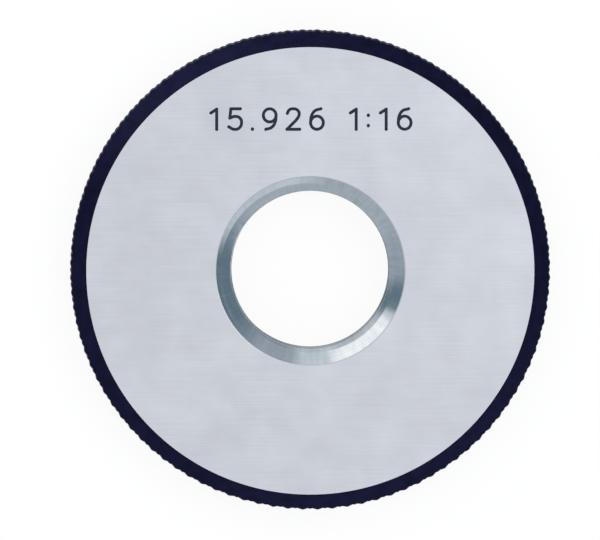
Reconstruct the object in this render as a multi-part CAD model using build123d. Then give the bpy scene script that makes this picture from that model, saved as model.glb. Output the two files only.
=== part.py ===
"""Solid thread ring gauge for a 3/8-18 taper pipe thread: one turned, threaded and knurled ring.

All sizes are in millimetres. The gauge lies on its small-end face. The origin is on the axis of
the bore, on that face, and +Z points out of the large-end face, where the thread is entered.
"""

import math
import os

from build123d import *

# Disc, ground flat on both faces, with its rim bevelled at 45 degrees
outer_diameter = 45.0
thickness = 6.096
rim_bevel = 1.5

# Taper pipe thread: 18 turns to the inch, its diameter growing 1 in 16 towards the large end
thread_pitch = 25.4 / 18
thread_taper = 1 / 16
small_end_pitch_diameter = 15.545
flank_angle = 30.0
crest_truncation = 0.141
root_truncation = 0.047
thread_start_angle = 215.0

# Bevelled mouths of the bore: how much wider than the root at the face, and the slope from there
mouth_over_root = 0.65
mouth_slope = 40.0

# Diamond knurl of the rim: diamonds round it, the lean of its grooves from the axis, and its height
diamonds_around = 100
knurl_angle = 30.0
knurl_depth = 0.18

# The cutting form of the groove reaches this far past the crests into the open bore
groove_overreach = 0.05

cone_slope = thread_taper / 2
half_sharp_height = thread_pitch / 4 / math.tan(math.radians(flank_angle))
crest_reach = half_sharp_height - crest_truncation
root_reach = half_sharp_height - root_truncation
rim_radius = outer_diameter / 2
face_radius = rim_radius - rim_bevel
column_angle = 180 / diamonds_around
row_height = rim_radius * math.radians(column_angle) / math.tan(math.radians(knurl_angle))
lattice_rows = 2 * math.ceil((thickness / 2 + row_height) / row_height)


def pitch_radius(height):
    """Radius of the pitch cone at a height above the small-end face."""
    return small_end_pitch_diameter / 2 + cone_slope * height


def mouth_radius(height):
    """Radius of a bore mouth on the face at this height."""
    return pitch_radius(height) + root_reach + mouth_over_root / 2


def turned_blank():
    """The ring before threading: plain taper bore, bevelled mouths and a rim that is still full."""
    crest_at_base = pitch_radius(0) - crest_reach
    crest_at_top = pitch_radius(thickness) - crest_reach
    spread = 1 / math.tan(math.radians(mouth_slope))
    base_depth = (mouth_radius(0) - crest_at_base) / (spread + cone_slope)
    top_depth = (mouth_radius(thickness) - crest_at_top) / (spread - cone_slope)
    section = Polyline(
        (mouth_radius(0), 0),
        (face_radius, 0),
        (face_radius + thickness / 2, thickness / 2),
        (face_radius, thickness),
        (mouth_radius(thickness), thickness),
        (crest_at_top - cone_slope * top_depth, thickness - top_depth),
        (crest_at_base + cone_slope * base_depth, base_depth),
        close=True,
    )
    return revolve(make_face(Plane.XZ * section), Axis.Z)


def groove_half_width(reach):
    """Half the width of the V groove at this distance outside the pitch cone."""
    return thread_pitch / 4 - reach * math.tan(math.radians(flank_angle))


def groove_section(base):
    """Section of the right-hand V groove where its centre is at this height."""
    radius = pitch_radius(base)
    open_reach = -crest_reach - groove_overreach
    outline = Polyline(
        (radius + root_reach, base - groove_half_width(root_reach)),
        (radius + root_reach, base + groove_half_width(root_reach)),
        (radius + open_reach, base + groove_half_width(open_reach)),
        (radius + open_reach, base - groove_half_width(open_reach)),
        close=True,
    )
    return make_face(Plane.XZ * outline)


def helix_turn(base):
    """One turn of the pitch helix on the taper, starting at this height."""
    cone_angle = math.degrees(math.atan(cone_slope))
    slant_pitch = thread_pitch / math.cos(math.atan(cone_slope))
    return Helix(
        slant_pitch,
        thread_pitch,
        pitch_radius(base),
        center=(0, 0, base),
        cone_angle=cone_angle,
    )


def thread_groove():
    """The whole groove, from below the small end to past the bevel of the large-end mouth."""
    root_depth_in_mouth = mouth_over_root / 2 * math.tan(math.radians(mouth_slope))
    last_turn = thickness - root_depth_in_mouth
    turns_below = math.ceil((last_turn + thread_pitch) / thread_pitch)
    first_turn = last_turn - turns_below * thread_pitch
    turns = [helix_turn(first_turn + turn * thread_pitch) for turn in range(turns_below + 1)]
    groove = sweep(groove_section(first_turn), Wire(turns), is_frenet=True)
    return groove.rotate(Axis.Z, thread_start_angle)


def lattice_point(column, row):
    """A corner of the knurl: tips and hollows alternate round the rim and up it."""
    is_tip = (column + row) % 2 == 0
    radius = rim_radius if is_tip else rim_radius - knurl_depth
    angle = math.radians(column * column_angle)
    height = thickness / 2 + (row - lattice_rows / 2) * row_height
    return (radius * math.cos(angle), radius * math.sin(angle), height)


def diamond_flanks(column, row):
    """The two flanks that meet in the valley across one cell of the lattice."""
    near_low = lattice_point(column, row)
    far_low = lattice_point(column + 1, row)
    far_high = lattice_point(column + 1, row + 1)
    near_high = lattice_point(column, row + 1)
    if (column + row) % 2 == 0:
        corners = [(near_low, far_low, near_high), (far_low, far_high, near_high)]
    else:
        corners = [(near_low, far_low, far_high), (near_low, far_high, near_high)]
    return [Face(Wire.make_polygon(points)) for points in corners]


def knurled_bar():
    """A round bar, longer than the ring is thick, with the diamond knurl all over it."""
    columns = range(2 * diamonds_around)
    faces = []
    for column in columns:
        for row in range(lattice_rows):
            faces += diamond_flanks(column, row)
    for end_row in (0, lattice_rows):
        faces.append(Face(Wire.make_polygon([lattice_point(column, end_row) for column in columns])))
    return Solid(Shell(faces))


os.makedirs("parts", exist_ok=True)
gauge_ring = (turned_blank() - thread_groove()) & knurled_bar()
export_step(gauge_ring, "parts/gauge_ring.step")
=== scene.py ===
"""Looks of a solid thread ring gauge: turned, threaded, knurled, marked, finished and lit.

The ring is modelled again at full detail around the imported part, from the same sizes. Everything
is in metres in the part's own frame: the gauge lies on its small-end face, +Z is up the bore and
+X runs to the right of the marking.
"""

import math

import bpy
from bpy.props import (
    FloatProperty, FloatVectorProperty, IntProperty, PointerProperty, StringProperty,
)
from mathutils import Matrix, Vector


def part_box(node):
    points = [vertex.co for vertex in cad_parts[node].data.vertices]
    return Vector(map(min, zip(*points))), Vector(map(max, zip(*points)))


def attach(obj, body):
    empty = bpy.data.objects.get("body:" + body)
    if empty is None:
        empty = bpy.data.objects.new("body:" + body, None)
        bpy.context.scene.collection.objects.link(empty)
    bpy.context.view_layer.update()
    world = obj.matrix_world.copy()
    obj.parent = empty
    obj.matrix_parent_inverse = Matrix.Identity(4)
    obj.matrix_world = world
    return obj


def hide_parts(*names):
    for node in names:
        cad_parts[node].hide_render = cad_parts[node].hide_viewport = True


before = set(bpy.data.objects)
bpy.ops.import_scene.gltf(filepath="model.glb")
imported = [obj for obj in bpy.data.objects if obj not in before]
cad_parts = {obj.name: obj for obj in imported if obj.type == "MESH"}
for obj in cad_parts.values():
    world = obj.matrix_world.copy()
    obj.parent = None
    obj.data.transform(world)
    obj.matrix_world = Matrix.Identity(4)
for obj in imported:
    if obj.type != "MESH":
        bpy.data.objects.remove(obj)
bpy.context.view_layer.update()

bl_info = {
    "name": "Thread Ring Gauge",
    "version": (1, 0, 0),
    "blender": (4, 5, 0),
    "location": "View3D > Sidebar > Ring Gauge",
    "description": "Models, finishes and lights a solid thread ring gauge for a taper pipe thread",
    "category": "Add Mesh",
}

MM = 0.001
NODE = "gauge_ring"
PIECE = "finished_ring"
NODE_LOW, NODE_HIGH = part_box(NODE)
NODE_SIZE = NODE_HIGH - NODE_LOW

# The photograph's frame, and where the middle of the ring's outline lies in it
IMAGE_WIDTH = 600
IMAGE_HEIGHT = 540
OUTLINE_CENTRE_PX = (310.0, 269.4)
OUTLINE_RADIUS_PX = 239.85

# The lamp stands above the ring, to the right, under the brightest part of the ceiling
LAMP_PLACE = Vector((0.106, 0.049, 0.2))

# Points nearer than this are one point
WELD = 0.001 * MM
SOLVER = "MANIFOLD"

# Material slots of the ring, in order
GROUND, OXIDE, LAPPED, ETCHED = range(4)


def linear(hex_colour):
    """Turn an sRGB hex colour into linear red, green and blue."""
    channels = [int(hex_colour[start:start + 2], 16) / 255 for start in (0, 2, 4)]
    return [c / 12.92 if c <= 0.04045 else ((c + 0.055) / 1.055) ** 2.4 for c in channels]


class RingGaugeSizes(bpy.types.PropertyGroup):
    """Sizes of the ring, its thread, its knurl and its marking."""

    outer_diameter: FloatProperty(
        name="Outer Diameter", description="Across the tips of the knurl",
        default=NODE_SIZE.x, unit="LENGTH", precision=5,
    )
    thickness: FloatProperty(
        name="Thickness", description="Between the two ground faces",
        default=NODE_SIZE.z, unit="LENGTH", precision=5,
    )
    rim_bevel: FloatProperty(
        name="Rim Bevel", description="Leg of the 45 degree bevels round the rim",
        default=1.5 * MM, unit="LENGTH", precision=5,
    )
    edge_break: FloatProperty(
        name="Edge Break", description="Width of the small bevel stoned on each turned corner",
        default=0.05 * MM, unit="LENGTH", precision=5,
    )
    thread_pitch: FloatProperty(
        name="Thread Pitch", description="Distance between threads along the bore",
        default=25.4 / 18 * MM, unit="LENGTH", precision=5,
    )
    pitch_diameter: FloatProperty(
        name="Pitch Diameter", description="Pitch diameter of the thread at the small-end face",
        default=15.545 * MM, unit="LENGTH", precision=5,
    )
    thread_taper: FloatProperty(
        name="Thread Taper", description="Growth in diameter for each unit of length",
        default=1 / 16, precision=4,
    )
    flank_angle: FloatProperty(
        name="Flank Angle", description="Angle of each thread flank to a plane across the bore",
        default=math.radians(30), unit="ROTATION",
    )
    crest_truncation: FloatProperty(
        name="Crest Truncation", description="Height taken off the sharp crest of the thread",
        default=0.141 * MM, unit="LENGTH", precision=5,
    )
    root_truncation: FloatProperty(
        name="Root Truncation", description="Height taken off the sharp root of the thread",
        default=0.047 * MM, unit="LENGTH", precision=5,
    )
    thread_start: FloatProperty(
        name="Thread Start", description="Where the groove leaves the upper mouth, from +X",
        default=math.radians(215), unit="ROTATION",
    )
    mouth_over_root: FloatProperty(
        name="Mouth Over Root", description="How much wider the bevelled mouth is than the root",
        default=0.65 * MM, unit="LENGTH", precision=5,
    )
    mouth_slope: FloatProperty(
        name="Mouth Slope", description="Slope of the bevelled mouths, from the face",
        default=math.radians(40), unit="ROTATION",
    )
    diamonds_around: IntProperty(
        name="Diamonds Around", description="Diamonds of the knurl round the rim", default=100,
    )
    knurl_angle: FloatProperty(
        name="Knurl Angle", description="Lean of the grooves of the knurl from the axis",
        default=math.radians(30), unit="ROTATION",
    )
    knurl_depth: FloatProperty(
        name="Knurl Depth", description="From the rim down to the bottom of the knurl",
        default=0.18 * MM, unit="LENGTH", precision=5,
    )
    knurl_flat: FloatProperty(
        name="Knurl Flat", description="Height missing from the tip of each diamond",
        default=0.03 * MM, unit="LENGTH", precision=5,
    )
    marking: StringProperty(
        name="Marking",
        description="Pitch diameter at the marked face in millimetres, and the taper",
        default="15.926 1:16",
    )
    marking_height: FloatProperty(
        name="Marking Height", description="Height of the numbers, with their strokes",
        default=2.23 * MM, unit="LENGTH", precision=5,
    )
    marking_centre: FloatProperty(
        name="Marking Centre", description="From the axis up to the middle of the numbers",
        default=14.23 * MM, unit="LENGTH", precision=5,
    )
    stroke_width: FloatProperty(
        name="Stroke Width", description="Width of the engraved strokes on the face",
        default=0.31 * MM, unit="LENGTH", precision=5,
    )
    stroke_depth: FloatProperty(
        name="Stroke Depth", description="Depth of the engraved strokes",
        default=0.06 * MM, unit="LENGTH", precision=5,
    )


class RingGaugeFinish(bpy.types.PropertyGroup):
    """Colours of the steel."""

    ground: FloatVectorProperty(
        name="Ground Steel", description="Flat ground faces", subtype="COLOR",
        default=linear("c8cbd3"),
    )
    oxide: FloatVectorProperty(
        name="Black Oxide", description="Blackened rim and its bevels", subtype="COLOR",
        default=linear("1c1d36"),
    )
    worn_oxide: FloatVectorProperty(
        name="Worn Oxide", description="Tips of the knurl, rubbed in the hand", subtype="COLOR",
        default=linear("303244"),
    )
    lapped: FloatVectorProperty(
        name="Lapped Steel", description="Thread and bevelled mouths", subtype="COLOR",
        default=linear("d3d8dc"),
    )
    etched: FloatVectorProperty(
        name="Etched Marking", description="Bottom of the marking", subtype="COLOR",
        default=linear("2c3442"),
    )


class RingGaugeStage(bpy.types.PropertyGroup):
    """Place of the camera and level of the light."""

    camera_distance: FloatProperty(
        name="Camera Distance", description="From the middle of the ring to the camera",
        default=1.0, unit="LENGTH",
    )
    camera_tilt: FloatProperty(
        name="Camera Tilt", description="Lean of the view from the axis, towards the marking",
        default=math.radians(3.0), unit="ROTATION",
    )
    camera_lean: FloatProperty(
        name="Camera Lean", description="Lean of the view from the axis, to the left",
        default=math.radians(0.6), unit="ROTATION",
    )
    floor_size: FloatProperty(
        name="Floor Size", description="Side of the floor", default=3.0, unit="LENGTH",
    )
    ceiling: FloatVectorProperty(
        name="Ceiling", description="Light from above", subtype="COLOR", default=(1.0, 1.0, 1.0),
    )
    walls: FloatVectorProperty(
        name="Walls", description="Light from the sides", subtype="COLOR",
        default=(0.42, 0.47, 0.53),
    )
    pale_wall: FloatVectorProperty(
        name="Pale Wall", description="Light from the paler wall at the front",
        subtype="COLOR", default=(0.50, 0.55, 0.60),
    )
    corners: FloatVectorProperty(
        name="Corners", description="Light from the two dim corners", subtype="COLOR",
        default=(0.162, 0.237, 0.285),
    )
    soft_box: FloatProperty(
        name="Soft Box", description="Strength of the large soft box at the back", default=1.3,
    )
    reflectors: FloatVectorProperty(
        name="Reflectors", description="Light from the two white reflectors", subtype="COLOR",
        default=(0.75, 0.80, 0.84),
    )
    lamp_level: FloatProperty(
        name="Lamp Level", description="Strength of the soft lamp above, to the right",
        default=0.4,
    )
    lamp_size: FloatProperty(
        name="Lamp Size", description="Diameter of the lamp", default=0.2, unit="LENGTH",
    )
    ceiling_glow: FloatProperty(
        name="Ceiling Glow", description="Strength of the ceiling behind the lamp", default=1.35,
    )


def pitch_radius(sizes, height):
    """Radius of the pitch cone at a height above the small-end face."""
    return sizes.pitch_diameter / 2 + sizes.thread_taper / 2 * height


def thread_reaches(sizes):
    """How far the crest and the root of the thread lie from the pitch cone."""
    half_sharp_height = sizes.thread_pitch / 4 / math.tan(sizes.flank_angle)
    return half_sharp_height - sizes.crest_truncation, half_sharp_height - sizes.root_truncation


def mouth_radius(sizes, height):
    """Radius of a bore mouth on the face at this height."""
    return pitch_radius(sizes, height) + thread_reaches(sizes)[1] + sizes.mouth_over_root / 2


def deselect_all():
    """Leave nothing selected, in object mode."""
    if bpy.context.object and bpy.context.object.mode != "OBJECT":
        bpy.ops.object.mode_set(mode="OBJECT")
    bpy.ops.object.select_all(action="DESELECT")


def make_active(piece):
    """Select one object alone and make it the active one."""
    deselect_all()
    piece.select_set(True)
    bpy.context.view_layer.objects.active = piece


def apply_place():
    """Move the active object's place, turn and scale into its mesh."""
    bpy.ops.object.transform_apply(location=True, rotation=True, scale=True)


def add_section(name, left, right, bottom, top):
    """Add an upright rectangle in the XZ plane, the start of a turned or swept form."""
    deselect_all()
    centre = ((left + right) / 2, 0, (bottom + top) / 2)
    bpy.ops.mesh.primitive_plane_add(size=1, location=centre, rotation=(math.pi / 2, 0, 0))
    section = bpy.context.object
    section.name = name
    section.scale = (right - left, top - bottom, 1)
    apply_place()
    return section


def select_in_mesh(piece, mode, wanted):
    """In edit mode, select the vertices or faces of the piece that pass a test."""
    bpy.ops.mesh.select_mode(type=mode)
    bpy.ops.mesh.select_all(action="DESELECT")
    bpy.ops.object.mode_set(mode="OBJECT")
    elements = piece.data.vertices if mode == "VERT" else piece.data.polygons
    for element in elements:
        element.select = wanted(element)
    bpy.ops.object.mode_set(mode="EDIT")


def turning_cut(point, outward):
    """Cut the section along a line in the XZ plane and take away what lies on the outward side."""
    bpy.ops.mesh.select_all(action="SELECT")
    bpy.ops.mesh.bisect(
        plane_co=(point[0], 0, point[1]), plane_no=(outward[0], 0, outward[1]), clear_outer=True,
    )


def close_and_face_out():
    """Weld the active object's seams, close its open ends and turn its faces outwards."""
    bpy.ops.object.mode_set(mode="EDIT")
    bpy.ops.mesh.select_all(action="SELECT")
    bpy.ops.mesh.remove_doubles(threshold=WELD)
    bpy.ops.mesh.select_all(action="SELECT")
    bpy.ops.mesh.fill_holes(sides=0)
    bpy.ops.mesh.select_all(action="SELECT")
    bpy.ops.mesh.normals_make_consistent(inside=False)
    bpy.ops.object.mode_set(mode="OBJECT")


def apply_modifier(piece, kind, settings):
    """Add a modifier to the piece, set it and apply it."""
    make_active(piece)
    modifier = piece.modifiers.new(kind.title(), kind)
    for name, value in settings.items():
        setattr(modifier, name, value)
    bpy.ops.object.modifier_apply(modifier=modifier.name)


def combine(piece, tool, operation):
    """Cut the piece with a tool, or keep what both share, and delete the tool."""
    settings = {"operation": operation, "object": tool, "solver": SOLVER}
    apply_modifier(piece, "BOOLEAN", settings)
    bpy.data.objects.remove(tool)


def give_slot(piece, slot):
    """Give the whole piece one of the ring's material slots."""
    for material in ring_materials():
        piece.data.materials.append(material)
    for polygon in piece.data.polygons:
        polygon.material_index = slot


def ring_materials():
    """The ring's materials in slot order. Their nodes are made when the steel is finished."""
    names = ("ground_tool_steel", "black_oxide_on_steel", "lapped_tool_steel", "etched_steel")
    return [bpy.data.materials.get(name) or bpy.data.materials.new(name) for name in names]


class RINGGAUGE_OT_turn_blank(bpy.types.Operator):
    """Turn the ring: ground faces, bevelled rim, taper bore and bevelled mouths"""

    bl_idname = "ringgauge.turn_blank"
    bl_label = "Turn Blank"

    steps_around = 360
    edge_test = 0.9

    def execute(self, context):
        sizes = context.scene.ring_gauge_sizes
        crest_reach = thread_reaches(sizes)[0]
        rim = sizes.outer_diameter / 2
        face_edge = rim - sizes.rim_bevel
        top = sizes.thickness
        crest = pitch_radius(sizes, 0) - crest_reach
        ring = add_section(PIECE, crest / 2, rim, 0, top)
        bpy.ops.object.mode_set(mode="EDIT")
        turning_cut((crest, 0), (-1, sizes.thread_taper / 2))
        lean, rise = math.sin(sizes.mouth_slope), math.cos(sizes.mouth_slope)
        turning_cut((mouth_radius(sizes, top), top), (-lean, rise))
        turning_cut((mouth_radius(sizes, 0), 0), (-lean, -rise))
        turning_cut((face_edge, top), (1, 1))
        turning_cut((face_edge, 0), (1, -1))
        bpy.ops.mesh.select_all(action="SELECT")
        bpy.ops.mesh.bevel(affect="VERTICES", offset=sizes.edge_break)
        bpy.ops.mesh.select_all(action="SELECT")
        bpy.ops.mesh.delete(type="ONLY_FACE")
        bpy.ops.mesh.select_all(action="SELECT")
        bpy.ops.mesh.spin(
            steps=self.steps_around, angle=2 * math.pi, center=(0, 0, 0), axis=(0, 0, 1),
        )
        bpy.ops.mesh.select_all(action="SELECT")
        bpy.ops.mesh.normals_make_consistent(inside=False)
        bpy.ops.object.mode_set(mode="OBJECT")
        give_slot(ring, LAPPED)
        for polygon in ring.data.polygons:
            if Vector(polygon.center[:2]).length > face_edge - sizes.edge_break:
                polygon.material_index = OXIDE
            elif abs(polygon.normal.z) > self.edge_test:
                polygon.material_index = GROUND
        return {"FINISHED"}


def loop(centre_x, centre_y, reach_x, reach_y):
    """A closed round stroke through its four outermost points."""
    points = [
        (centre_x + reach_x, centre_y),
        (centre_x, centre_y + reach_y),
        (centre_x - reach_x, centre_y),
        (centre_x, centre_y - reach_y),
    ]
    return [("LOOP", points)]


def bend(*points):
    """A smooth open stroke through these points."""
    return [("BEND", points)]


def runs(*points):
    """Straight runs from each point to the next."""
    return [("RUN", pair) for pair in zip(points, points[1:])]


# Each sign is one unit high: how wide it is, and its strokes
GLYPHS = {
    "0": (0.62, loop(0.31, 0.5, 0.31, 0.5)),
    "1": (0.40, runs((0.06, 0.80), (0.34, 0.98), (0.34, 0.0))),
    "2": (0.62, bend((0.02, 0.78), (0.11, 0.94), (0.31, 1.0), (0.54, 0.91), (0.59, 0.70),
                     (0.45, 0.45))
          + runs((0.45, 0.45), (0.0, 0.0), (0.62, 0.0))),
    "3": (0.62, runs((0.06, 1.0), (0.56, 1.0), (0.28, 0.60))
          + bend((0.28, 0.60), (0.52, 0.53), (0.62, 0.31), (0.50, 0.06), (0.26, 0.0), (0.0, 0.12))),
    "4": (0.62, runs((0.46, 0.0), (0.46, 1.0), (0.0, 0.28), (0.62, 0.28))),
    "5": (0.62, runs((0.56, 1.0), (0.10, 1.0), (0.05, 0.55))
          + bend((0.05, 0.55), (0.32, 0.63), (0.55, 0.54), (0.62, 0.31), (0.50, 0.06), (0.26, 0.0),
                 (0.0, 0.12))),
    "6": (0.62, loop(0.31, 0.32, 0.31, 0.32)
          + bend((0.0, 0.32), (0.04, 0.64), (0.21, 0.90), (0.50, 1.0))),
    "7": (0.62, runs((0.0, 1.0), (0.62, 1.0), (0.20, 0.0))),
    "8": (0.62, loop(0.31, 0.76, 0.26, 0.24) + loop(0.31, 0.27, 0.31, 0.27)),
    "9": (0.62, loop(0.31, 0.68, 0.31, 0.32)
          + bend((0.62, 0.68), (0.58, 0.36), (0.41, 0.10), (0.12, 0.0))),
    ".": (0.0, runs((0.0, 0.0), (0.0, 0.02))),
    ":": (0.0, runs((0.0, 0.17), (0.0, 0.19)) + runs((0.0, 0.67), (0.0, 0.69))),
    " ": (0.20, []),
}
# The gap between signs, of their height
GLYPH_GAP = 0.53


def add_ball(centre, radius):
    """Add a ball, the end of an engraving tool that stops there."""
    deselect_all()
    bpy.ops.mesh.primitive_uv_sphere_add(segments=24, ring_count=13, radius=radius, location=centre)
    apply_place()
    return bpy.context.object


def add_bar(places, is_smooth, is_closed, radius):
    """Add a round bar along a stroke of a number."""
    curve = bpy.data.curves.new("stroke", "CURVE")
    curve.dimensions = "3D"
    curve.bevel_depth = radius
    curve.bevel_resolution = 4
    curve.resolution_u = 10
    curve.use_fill_caps = True
    spline = curve.splines.new("BEZIER")
    spline.bezier_points.add(len(places) - 1)
    for point, place in zip(spline.bezier_points, places):
        point.co = place
        point.handle_left_type = point.handle_right_type = "AUTO" if is_smooth else "VECTOR"
    spline.use_cyclic_u = is_closed
    bar = bpy.data.objects.new("stroke", curve)
    bpy.context.scene.collection.objects.link(bar)
    make_active(bar)
    bpy.ops.object.convert(target="MESH")
    close_and_face_out()
    return bpy.context.object


class RINGGAUGE_OT_engrave_marking(bpy.types.Operator):
    """Engrave the numbers on the large-end face"""

    bl_idname = "ringgauge.engrave_marking"
    bl_label = "Engrave Marking"

    def execute(self, context):
        sizes = context.scene.ring_gauge_sizes
        ring = bpy.data.objects[PIECE]
        half_width = sizes.stroke_width / 2
        depth = sizes.stroke_depth
        radius = (half_width ** 2 + depth ** 2) / (2 * depth)
        tool_height = sizes.thickness + radius - depth
        scale = sizes.marking_height - sizes.stroke_width
        length = sum(GLYPHS[sign][0] + GLYPH_GAP for sign in sizes.marking) - GLYPH_GAP
        pen = Vector((-length / 2 * scale, sizes.marking_centre - scale / 2, tool_height))
        tools = []
        ends = set()
        for sign in sizes.marking:
            width, strokes = GLYPHS[sign]
            for kind, points in strokes:
                places = [pen + Vector((x * scale, y * scale, 0)) for x, y in points]
                tools.append(add_bar(places, kind != "RUN", kind == "LOOP", radius))
                if kind != "LOOP":
                    ends.update((places[0].freeze(), places[-1].freeze()))
            pen.x += (width + GLYPH_GAP) * scale
        tools += [add_ball(end, radius) for end in sorted(ends, key=tuple)]
        for tool in tools:
            give_slot(tool, ETCHED)
            combine(ring, tool, "DIFFERENCE")
        return {"FINISHED"}


class RINGGAUGE_OT_cut_thread(bpy.types.Operator):
    """Cut the taper thread as one helical groove"""

    bl_idname = "ringgauge.cut_thread"
    bl_label = "Cut Thread"

    steps_per_turn = 180
    overreach = 0.05 * MM

    def execute(self, context):
        sizes = context.scene.ring_gauge_sizes
        ring = bpy.data.objects[PIECE]
        pitch = sizes.thread_pitch
        crest_reach, root_reach = thread_reaches(sizes)
        spread = math.tan(sizes.flank_angle)
        last_turn = sizes.thickness - sizes.mouth_over_root / 2 * math.tan(sizes.mouth_slope)
        turns_below = math.ceil((last_turn + pitch) / pitch)
        start = last_turn - turns_below * pitch
        middle = pitch_radius(sizes, 0)
        open_reach = crest_reach + self.overreach
        half_open = pitch / 4 + open_reach * spread
        half_root = pitch / 4 - root_reach * spread
        groove = add_section(
            "groove",
            middle - open_reach, middle + root_reach,
            start - half_open, start + half_open,
        )
        bpy.ops.object.mode_set(mode="EDIT")
        select_in_mesh(groove, "VERT", lambda vertex: vertex.co.x > middle)
        bpy.ops.transform.resize(
            value=(1, 1, half_root / half_open), center_override=(0, 0, start),
        )
        bpy.ops.object.mode_set(mode="OBJECT")
        apply_modifier(groove, "SCREW", {
            "axis": "Z", "angle": 2 * math.pi, "screw_offset": pitch,
            "iterations": turns_below + 1,
            "steps": self.steps_per_turn, "render_steps": self.steps_per_turn,
        })
        lowest = min(vertex.co.z for vertex in groove.data.vertices)
        highest = max(vertex.co.z for vertex in groove.data.vertices)
        apply_modifier(groove, "SIMPLE_DEFORM", {
            "deform_method": "TAPER", "deform_axis": "Z",
            "factor": sizes.thread_taper / 2 * (highest - lowest) / middle,
        })
        groove.rotation_euler.z = sizes.thread_start
        apply_place()
        close_and_face_out()
        give_slot(groove, LAPPED)
        combine(ring, groove, "DIFFERENCE")
        return {"FINISHED"}


class RINGGAUGE_OT_roll_knurl(bpy.types.Operator):
    """Roll the diamond knurl on the rim"""

    bl_idname = "ringgauge.roll_knurl"
    bl_label = "Roll Knurl"

    def execute(self, context):
        sizes = context.scene.ring_gauge_sizes
        ring = bpy.data.objects[PIECE]
        rim = sizes.outer_diameter / 2
        tip = rim + sizes.knurl_flat
        column_angle = math.pi / sizes.diamonds_around
        row_height = rim * column_angle / math.tan(sizes.knurl_angle)
        middle = sizes.thickness / 2
        rows = 2 * math.ceil((middle + row_height) / row_height)
        base = middle - rows / 2 * row_height

        def is_hollow(vertex):
            column = round(math.atan2(vertex.co.y, vertex.co.x) / column_angle)
            row = round((vertex.co.z - middle) / row_height)
            return (column + row) % 2 == 1

        deselect_all()
        bpy.ops.mesh.primitive_circle_add(
            vertices=2 * sizes.diamonds_around, radius=tip, fill_type="NGON", location=(0, 0, base),
        )
        apply_place()
        bar = bpy.context.object
        bpy.ops.object.mode_set(mode="EDIT")
        bpy.ops.mesh.select_all(action="SELECT")
        for _ in range(rows):
            bpy.ops.mesh.extrude_region_move(TRANSFORM_OT_translate={"value": (0, 0, row_height)})
        select_in_mesh(bar, "VERT", is_hollow)
        hollow_scale = (rim - sizes.knurl_depth) / tip
        bpy.ops.transform.resize(
            value=(hollow_scale, hollow_scale, 1), center_override=(0, 0, middle),
        )
        select_in_mesh(bar, "FACE", lambda polygon: len(polygon.vertices) == 4)
        bpy.ops.mesh.quads_convert_to_tris(quad_method="SHORTEST_DIAGONAL")
        bpy.ops.mesh.select_all(action="SELECT")
        bpy.ops.mesh.normals_make_consistent(inside=False)
        bpy.ops.object.mode_set(mode="OBJECT")
        give_slot(bar, OXIDE)
        combine(ring, bar, "INTERSECT")
        return {"FINISHED"}


def add_node(tree, kind, settings=None, inputs=None):
    """Add a node with its own settings, and set or link its inputs."""
    node = tree.nodes.new(kind)
    for name, value in (settings or {}).items():
        setattr(node, name, value)
    for name, value in (inputs or {}).items():
        if isinstance(value, bpy.types.NodeSocket):
            tree.links.new(value, node.inputs[name])
        else:
            node.inputs[name].default_value = value
    return node


def colour_value(colour):
    """A colour property as the four numbers of a colour socket."""
    return (*colour, 1.0)


def start_material(material):
    """Clear a material's nodes and return its tree."""
    material.use_nodes = True
    material.node_tree.nodes.clear()
    return material.node_tree


def finish_material(tree, shader):
    """Send the shader to the material's output."""
    add_node(tree, "ShaderNodeOutputMaterial", inputs={"Surface": shader.outputs[0]})


def ground_tool_steel(material, finish):
    """Hardened tool steel, surface ground: satin, with faint straight lines left by the wheel."""
    tree = start_material(material)
    place = add_node(tree, "ShaderNodeTexCoord").outputs["Object"]
    # Wheel lines 8 mm long and 0.12 mm apart, coarser than the real grit so that they show
    lines = add_node(tree, "ShaderNodeMapping", inputs={
        "Vector": place, "Scale": (1 / (8 * MM), 1 / (0.12 * MM), 1),
    })
    wheel = add_node(tree, "ShaderNodeTexNoise", inputs={
        "Vector": lines.outputs[0], "Scale": 1.0, "Detail": 3.0, "Roughness": 0.6,
    })
    # Cloudy patches about 4 mm across, where the steel took the wheel differently
    clouds = add_node(tree, "ShaderNodeTexNoise", inputs={
        "Vector": place, "Scale": 1 / (4 * MM), "Detail": 3.0, "Roughness": 0.55,
    })
    level = add_node(tree, "ShaderNodeMath", {"operation": "ADD"}, {
        0: wheel.outputs["Fac"], 1: clouds.outputs["Fac"],
    })
    tone = add_node(tree, "ShaderNodeMapRange", inputs={
        "Value": level.outputs[0], "From Min": 0.6, "From Max": 1.4, "To Min": 0.90, "To Max": 1.10,
    })
    colour = add_node(tree, "ShaderNodeVectorMath", {"operation": "SCALE"}, {
        0: tuple(finish.ground), "Scale": tone.outputs[0],
    })
    roughness = add_node(tree, "ShaderNodeMapRange", inputs={
        "Value": wheel.outputs["Fac"], "From Min": 0.3, "From Max": 0.7,
        "To Min": 0.34, "To Max": 0.42,
    })
    bump = add_node(tree, "ShaderNodeBump", inputs={
        "Height": wheel.outputs["Fac"], "Strength": 0.10, "Distance": 0.01 * MM,
    })
    shader = add_node(tree, "ShaderNodeBsdfPrincipled", inputs={
        "Base Color": colour.outputs[0], "Metallic": 1.0, "Roughness": roughness.outputs[0],
        "Normal": bump.outputs[0],
    })
    finish_material(tree, shader)


def distance_from_axis(tree, place):
    """Distance of a point of the surface from the axis of the bore."""
    flat = add_node(tree, "ShaderNodeVectorMath", {"operation": "MULTIPLY"}, {
        0: place, 1: (1, 1, 0),
    })
    return add_node(tree, "ShaderNodeVectorMath", {"operation": "LENGTH"}, {
        0: flat.outputs[0],
    }).outputs["Value"]


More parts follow.
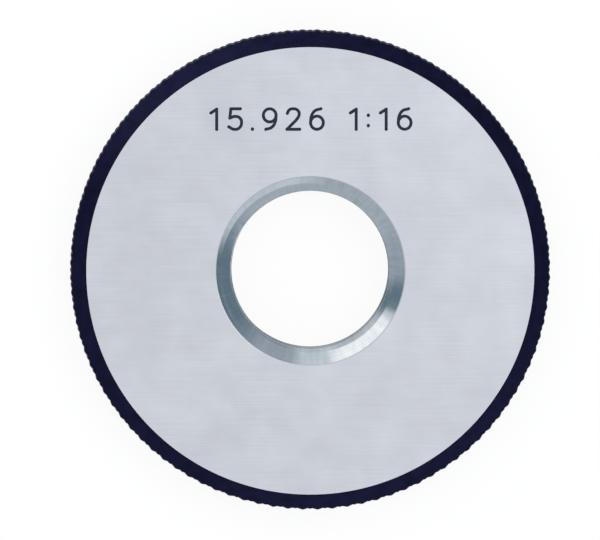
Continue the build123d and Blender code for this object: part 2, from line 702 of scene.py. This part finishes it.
def black_oxide(material, finish, sizes):
    """Blue-black oxide on turned and knurled steel: very dark, a little rubbed on the tips."""
    tree = start_material(material)
    place = add_node(tree, "ShaderNodeTexCoord").outputs["Object"]
    rim = sizes.outer_diameter / 2
    # Patches 1.2 mm across, where the oxide took more or less
    patches = add_node(tree, "ShaderNodeTexNoise", inputs={
        "Vector": place, "Scale": 1 / (1.2 * MM), "Detail": 4.0, "Roughness": 0.6,
    })
    # The last 0.12 mm of each tip is rubbed in the hand
    height = add_node(tree, "ShaderNodeMapRange", inputs={
        "Value": distance_from_axis(tree, place),
        "From Min": rim - 0.12 * MM, "From Max": rim, "To Min": 0.0, "To Max": 0.8,
    })
    rubbed = add_node(tree, "ShaderNodeMath", {"operation": "MULTIPLY"}, {
        0: height.outputs[0], 1: patches.outputs["Fac"],
    })
    tone = add_node(tree, "ShaderNodeMapRange", inputs={
        "Value": patches.outputs["Fac"], "From Min": 0.3, "From Max": 0.7,
        "To Min": 0.75, "To Max": 1.3,
    })
    base = add_node(tree, "ShaderNodeVectorMath", {"operation": "SCALE"}, {
        0: tuple(finish.oxide), "Scale": tone.outputs[0],
    })
    colour = add_node(tree, "ShaderNodeMix", {"data_type": "RGBA"}, {
        "Factor": rubbed.outputs[0], 6: base.outputs[0], 7: colour_value(finish.worn_oxide),
    })
    roughness = add_node(tree, "ShaderNodeMapRange", inputs={
        "Value": patches.outputs["Fac"], "From Min": 0.3, "From Max": 0.7,
        "To Min": 0.30, "To Max": 0.45,
    })
    shader = add_node(tree, "ShaderNodeBsdfPrincipled", inputs={
        "Base Color": colour.outputs[2], "Metallic": 1.0, "Roughness": roughness.outputs[0],
        "Specular Tint": (0.5, 0.5, 0.55, 1),
    })
    finish_material(tree, shader)


def lapped_tool_steel(material, finish, sizes):
    """Bright turned and lapped steel: near mirror, with tool marks round the bore and streaks, and
    painted shade lower down the bore.
    """
    tree = start_material(material)
    mouth = mouth_radius(sizes, sizes.thickness)
    place = add_node(tree, "ShaderNodeTexCoord").outputs["Object"]
    split = add_node(tree, "ShaderNodeSeparateXYZ", inputs={0: place})
    radius = distance_from_axis(tree, place)
    # Tool marks 0.08 mm apart across the bevel, and long round the bore
    across = add_node(tree, "ShaderNodeMath", {"operation": "MULTIPLY"}, {
        0: radius, 1: 1 / (0.08 * MM),
    })
    up = add_node(tree, "ShaderNodeMath", {"operation": "MULTIPLY"}, {
        0: split.outputs["Z"], 1: 1 / (0.08 * MM),
    })
    turn = add_node(tree, "ShaderNodeMath", {"operation": "ARCTAN2"}, {
        0: split.outputs["Y"], 1: split.outputs["X"],
    })
    marks_place = add_node(tree, "ShaderNodeCombineXYZ", inputs={
        "X": across.outputs[0], "Y": up.outputs[0], "Z": turn.outputs[0],
    })
    marks = add_node(tree, "ShaderNodeTexNoise", inputs={
        "Vector": marks_place.outputs[0], "Scale": 1.0, "Detail": 3.0, "Roughness": 0.6,
    })
    # Streaks 0.5 mm wide and 2 mm long across the bevel, left by the lap
    streak_turn = add_node(tree, "ShaderNodeMath", {"operation": "MULTIPLY"}, {
        0: turn.outputs[0], 1: mouth / (0.5 * MM),
    })
    streak_across = add_node(tree, "ShaderNodeMath", {"operation": "MULTIPLY"}, {
        0: radius, 1: 1 / (2 * MM),
    })
    streaks_place = add_node(tree, "ShaderNodeCombineXYZ", inputs={
        "X": streak_turn.outputs[0], "Y": streak_across.outputs[0],
    })
    streaks = add_node(tree, "ShaderNodeTexNoise", inputs={
        "Vector": streaks_place.outputs[0], "Scale": 1.0, "Detail": 3.0, "Roughness": 0.6,
    })
    level = add_node(tree, "ShaderNodeMath", {"operation": "ADD"}, {
        0: marks.outputs["Fac"], 1: streaks.outputs["Fac"],
    })
    tone = add_node(tree, "ShaderNodeMapRange", inputs={
        "Value": level.outputs[0], "From Min": 0.7, "From Max": 1.3,
        "To Min": 0.86, "To Max": 1.10,
    })
    # Painted shade: all lapped steel below 3.4 mm, in the thread and the lower mouth, is darkened
    # to 0.55, fading out up to 4.4 mm, as if shade fell deeper in the bore
    painted_bore_shade = add_node(tree, "ShaderNodeMapRange", inputs={
        "Value": split.outputs["Z"], "From Min": 3.4 * MM, "From Max": 4.4 * MM,
        "To Min": 0.55, "To Max": 1.0,
    })
    shade = add_node(tree, "ShaderNodeMath", {"operation": "MULTIPLY"}, {
        0: tone.outputs[0], 1: painted_bore_shade.outputs[0],
    })
    colour = add_node(tree, "ShaderNodeVectorMath", {"operation": "SCALE"}, {
        0: tuple(finish.lapped), "Scale": shade.outputs[0],
    })
    bump = add_node(tree, "ShaderNodeBump", inputs={
        "Height": marks.outputs["Fac"], "Strength": 0.15, "Distance": 0.01 * MM,
    })
    shader = add_node(tree, "ShaderNodeBsdfPrincipled", inputs={
        "Base Color": colour.outputs[0], "Metallic": 1.0, "Roughness": 0.16,
        "Normal": bump.outputs[0],
    })
    finish_material(tree, shader)


def etched_steel(material, finish):
    """Steel darkened by etching: matt slate in the bottom of the strokes."""
    tree = start_material(material)
    place = add_node(tree, "ShaderNodeTexCoord").outputs["Object"]
    # Grain 0.1 mm across, coarser than the real etch so that it shows
    grain = add_node(tree, "ShaderNodeTexNoise", inputs={
        "Vector": place, "Scale": 1 / (0.1 * MM), "Detail": 2.0,
    })
    tone = add_node(tree, "ShaderNodeMapRange", inputs={
        "Value": grain.outputs["Fac"], "From Min": 0.3, "From Max": 0.7,
        "To Min": 0.8, "To Max": 1.25,
    })
    colour = add_node(tree, "ShaderNodeVectorMath", {"operation": "SCALE"}, {
        0: tuple(finish.etched), "Scale": tone.outputs[0],
    })
    shader = add_node(tree, "ShaderNodeBsdfPrincipled", inputs={
        "Base Color": colour.outputs[0], "Metallic": 0.0, "Roughness": 0.7,
        "Specular IOR Level": 0.2,
    })
    finish_material(tree, shader)


class RINGGAUGE_OT_finish_steel(bpy.types.Operator):
    """Give the steel its finishes and put the ring in the place of the plain one"""

    bl_idname = "ringgauge.finish_steel"
    bl_label = "Finish Steel"

    sharp_angle = math.radians(12)

    def execute(self, context):
        scene = context.scene
        finish = scene.ring_gauge_finish
        ring = bpy.data.objects[PIECE]
        ground, oxide, lapped, etched = ring_materials()
        ground_tool_steel(ground, finish)
        black_oxide(oxide, finish, scene.ring_gauge_sizes)
        lapped_tool_steel(lapped, finish, scene.ring_gauge_sizes)
        etched_steel(etched, finish)
        make_active(ring)
        bpy.ops.object.shade_smooth_by_angle(angle=self.sharp_angle)
        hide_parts(NODE)
        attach(ring, "root")
        return {"FINISHED"}


def seen_directly(tree):
    """1 for what the camera sees, also in a mirror or through glass, and 0 for other light."""
    path = add_node(tree, "ShaderNodeLightPath")
    mirrored = add_node(tree, "ShaderNodeMath", {"operation": "MAXIMUM"}, {
        0: path.outputs["Is Camera Ray"], 1: path.outputs["Is Glossy Ray"],
    })
    return add_node(tree, "ShaderNodeMath", {"operation": "MAXIMUM"}, {
        0: mirrored.outputs[0], 1: path.outputs["Is Transmission Ray"],
    }).outputs[0]


def blend(tree, share, under, over):
    """Blend two colours, given as sockets or as red, green and blue."""
    under, over = (
        colour if isinstance(colour, bpy.types.NodeSocket) else colour_value(colour)
        for colour in (under, over)
    )
    return add_node(tree, "ShaderNodeMix", {"data_type": "RGBA"}, {
        "Factor": share, 6: under, 7: over,
    }).outputs[2]


# Sides of the room, in degrees: bearing from +X, half the width, and the soft edge
SOFT_BOX_SIDE = (129, 19, 10)
REFLECTOR_SIDE = (95, 12, 6)
FRONT_REFLECTOR_SIDE = (303, 24, 20)
PALE_SIDE = (262, 48, 16)
RIGHT_CORNER_SIDE = (8, 22, 24)
LEFT_CORNER_SIDE = (164, 5, 12)


def side_of_room(tree, level_direction, bearing, half_width, edge):
    """1 within half_width degrees of the bearing, falling to 0 over the edge."""
    angle = math.radians(bearing)
    towards = add_node(tree, "ShaderNodeVectorMath", {"operation": "DOT_PRODUCT"}, {
        0: level_direction, 1: (math.cos(angle), math.sin(angle), 0),
    })
    return add_node(tree, "ShaderNodeMapRange", inputs={
        "Value": towards.outputs["Value"],
        "From Min": math.cos(math.radians(half_width + edge)),
        "From Max": math.cos(math.radians(half_width)),
    }).outputs[0]


def low_part(tree, height, share, whole_until, none_from):
    """A share of the light that fades out between two heights, in degrees up."""
    fade = add_node(tree, "ShaderNodeMapRange", inputs={
        "Value": height, "From Min": math.sin(math.radians(none_from)),
        "From Max": math.sin(math.radians(whole_until)),
    }).outputs[0]
    return add_node(tree, "ShaderNodeMath", {"operation": "MULTIPLY"}, {
        0: share, 1: fade,
    }).outputs[0]


def studio_light(world, stage):
    """A room with a bright ceiling, dimmer walls, a soft box, reflectors and two dim corners."""
    world.use_nodes = True
    tree = world.node_tree
    tree.nodes.clear()
    direction = add_node(tree, "ShaderNodeTexCoord").outputs["Generated"]
    flattened = add_node(tree, "ShaderNodeVectorMath", {"operation": "MULTIPLY"}, {
        0: direction, 1: (1, 1, 0),
    })
    level_direction = add_node(tree, "ShaderNodeVectorMath", {"operation": "NORMALIZE"}, {
        0: flattened.outputs[0],
    }).outputs[0]
    height = add_node(tree, "ShaderNodeSeparateXYZ", inputs={0: direction}).outputs["Z"]
    front = side_of_room(tree, level_direction, *FRONT_REFLECTOR_SIDE)
    soft_box = side_of_room(tree, level_direction, *SOFT_BOX_SIDE)
    walls = stage.walls
    for side, colour in (
        (RIGHT_CORNER_SIDE, stage.corners),
        (LEFT_CORNER_SIDE, stage.corners),
        (REFLECTOR_SIDE, stage.reflectors),
        (PALE_SIDE, stage.pale_wall),
    ):
        walls = blend(tree, side_of_room(tree, level_direction, *side), walls, colour)
    # The front reflector fades out from 6 to 24 degrees up, and the soft box from 15 to 45
    walls = blend(tree, low_part(tree, height, front, 6, 24), walls, stage.reflectors)
    walls = blend(tree, low_part(tree, height, soft_box, 15, 45), walls, (stage.soft_box, ) * 3)
    # The ceiling starts 45 degrees up and has its full strength at 55 degrees
    overhead = add_node(tree, "ShaderNodeMapRange", inputs={
        "Value": height, "From Min": math.sin(math.radians(45)),
        "From Max": math.sin(math.radians(55)),
    }).outputs[0]
    room = blend(tree, overhead, walls, stage.ceiling)
    # The glow is whole within 5 degrees of the lamp's direction and fades out at 28 degrees
    to_lamp = add_node(tree, "ShaderNodeVectorMath", {"operation": "DOT_PRODUCT"}, {
        0: direction, 1: LAMP_PLACE.normalized(),
    })
    glow = add_node(tree, "ShaderNodeMapRange", inputs={
        "Value": to_lamp.outputs["Value"], "From Min": math.cos(math.radians(28)),
        "From Max": math.cos(math.radians(5)),
    }).outputs[0]
    room = blend(tree, glow, room, (stage.ceiling_glow, ) * 3)
    light = add_node(tree, "ShaderNodeBackground", inputs={"Color": room, "Strength": 1.0})
    backdrop = add_node(tree, "ShaderNodeBackground", inputs={
        "Color": (1, 1, 1, 1), "Strength": 1.0,
    })
    camera_ray = add_node(tree, "ShaderNodeLightPath").outputs["Is Camera Ray"]
    either = add_node(tree, "ShaderNodeMixShader", inputs={
        0: camera_ray, 1: light.outputs[0], 2: backdrop.outputs[0],
    })
    add_node(tree, "ShaderNodeOutputWorld", inputs={"Surface": either.outputs[0]})


def white_floor(material):
    """Matt white card. It looks white wherever it is seen, and keeps a light shadow.

    The glow is a little over 1, which makes up for what the lit card in the mix lacks to white.
    """
    glow_strength = 1.045
    share_of_glow = 0.86
    tree = start_material(material)
    card = add_node(tree, "ShaderNodeBsdfDiffuse", inputs={"Color": (0.95, 0.95, 0.95, 1)})
    glow = add_node(tree, "ShaderNodeEmission", inputs={
        "Color": (1, 1, 1, 1), "Strength": glow_strength,
    })
    share = add_node(tree, "ShaderNodeMath", {"operation": "MULTIPLY"}, {
        0: seen_directly(tree), 1: share_of_glow,
    })
    either = add_node(tree, "ShaderNodeMixShader", inputs={
        0: share.outputs[0], 1: card.outputs[0], 2: glow.outputs[0],
    })
    finish_material(tree, either)


class RINGGAUGE_OT_build_stage(bpy.types.Operator):
    """Lay the floor, set the light and place the camera"""

    bl_idname = "ringgauge.build_stage"
    bl_label = "Build Stage"

    def execute(self, context):
        scene = context.scene
        stage = scene.ring_gauge_stage
        sizes = scene.ring_gauge_sizes
        deselect_all()
        bpy.ops.mesh.primitive_plane_add(size=stage.floor_size, location=(0, 0, 0))
        floor = context.object
        floor.name = "floor"
        floor.data.materials.append(bpy.data.materials.new("white_card"))
        white_floor(floor.data.materials[0])

        scene.world = bpy.data.worlds.new("studio")
        studio_light(scene.world, stage)

        middle = Vector((0, 0, sizes.thickness / 2))
        bpy.ops.object.light_add(type="AREA", location=LAMP_PLACE)
        lamp = context.object
        lamp.rotation_euler = LAMP_PLACE.to_track_quat("Z", "Y").to_euler()
        lamp.data.shape = "DISK"
        lamp.data.size = stage.lamp_size
        lamp.data.energy = stage.lamp_level * math.pi * math.pi / 4 * lamp.data.size ** 2

        towards = Vector((-math.tan(stage.camera_lean), math.tan(stage.camera_tilt), 1))
        towards.normalize()
        metres_per_pixel = sizes.outer_diameter / 2 / OUTLINE_RADIUS_PX
        right = Vector((0, 1, 0)).cross(towards).normalized()
        up = towards.cross(right)
        aim = middle
        aim = aim - right * (OUTLINE_CENTRE_PX[0] - IMAGE_WIDTH / 2) * metres_per_pixel
        aim = aim + up * (OUTLINE_CENTRE_PX[1] - IMAGE_HEIGHT / 2) * metres_per_pixel
        bpy.ops.object.camera_add(location=aim + towards * stage.camera_distance)
        camera = context.object
        camera.rotation_euler = Matrix((right, up, towards)).transposed().to_euler()
        camera.data.sensor_fit = "HORIZONTAL"
        view_width = IMAGE_WIDTH * metres_per_pixel
        camera.data.lens = camera.data.sensor_width * stage.camera_distance / view_width
        scene.camera = camera
        scene.view_settings.view_transform = "Standard"
        return {"FINISHED"}


BUILD_ORDER = (
    RINGGAUGE_OT_turn_blank,
    RINGGAUGE_OT_engrave_marking,
    RINGGAUGE_OT_cut_thread,
    RINGGAUGE_OT_roll_knurl,
    RINGGAUGE_OT_finish_steel,
    RINGGAUGE_OT_build_stage,
)


class RINGGAUGE_PT_panel(bpy.types.Panel):
    """Lists the steps that make the ring gauge and its stage"""

    bl_idname = "RINGGAUGE_PT_panel"
    bl_label = "Ring Gauge"
    bl_space_type = "VIEW_3D"
    bl_region_type = "UI"
    bl_category = "Ring Gauge"

    def draw(self, context):
        scene = context.scene
        for group in (scene.ring_gauge_sizes, scene.ring_gauge_finish, scene.ring_gauge_stage):
            box = self.layout.box()
            for name in group.__annotations__:
                box.prop(group, name)
        for operator in BUILD_ORDER:
            self.layout.operator(operator.bl_idname)


CLASSES = (RingGaugeSizes, RingGaugeFinish, RingGaugeStage, *BUILD_ORDER, RINGGAUGE_PT_panel)


def register():
    """Register the classes and hang their settings on the scene."""
    for cls in CLASSES:
        bpy.utils.register_class(cls)
    bpy.types.Scene.ring_gauge_sizes = PointerProperty(type=RingGaugeSizes)
    bpy.types.Scene.ring_gauge_finish = PointerProperty(type=RingGaugeFinish)
    bpy.types.Scene.ring_gauge_stage = PointerProperty(type=RingGaugeStage)


def unregister():
    """Take the settings off the scene and unregister the classes."""
    del bpy.types.Scene.ring_gauge_sizes
    del bpy.types.Scene.ring_gauge_finish
    del bpy.types.Scene.ring_gauge_stage
    for cls in reversed(CLASSES):
        bpy.utils.unregister_class(cls)


def main():
    """Model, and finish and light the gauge."""
    register()
    bpy.ops.ringgauge.turn_blank()
    bpy.ops.ringgauge.engrave_marking()
    bpy.ops.ringgauge.cut_thread()
    bpy.ops.ringgauge.roll_knurl()
    bpy.ops.ringgauge.finish_steel()
    bpy.ops.ringgauge.build_stage()


if __name__ == "__main__":
    main()
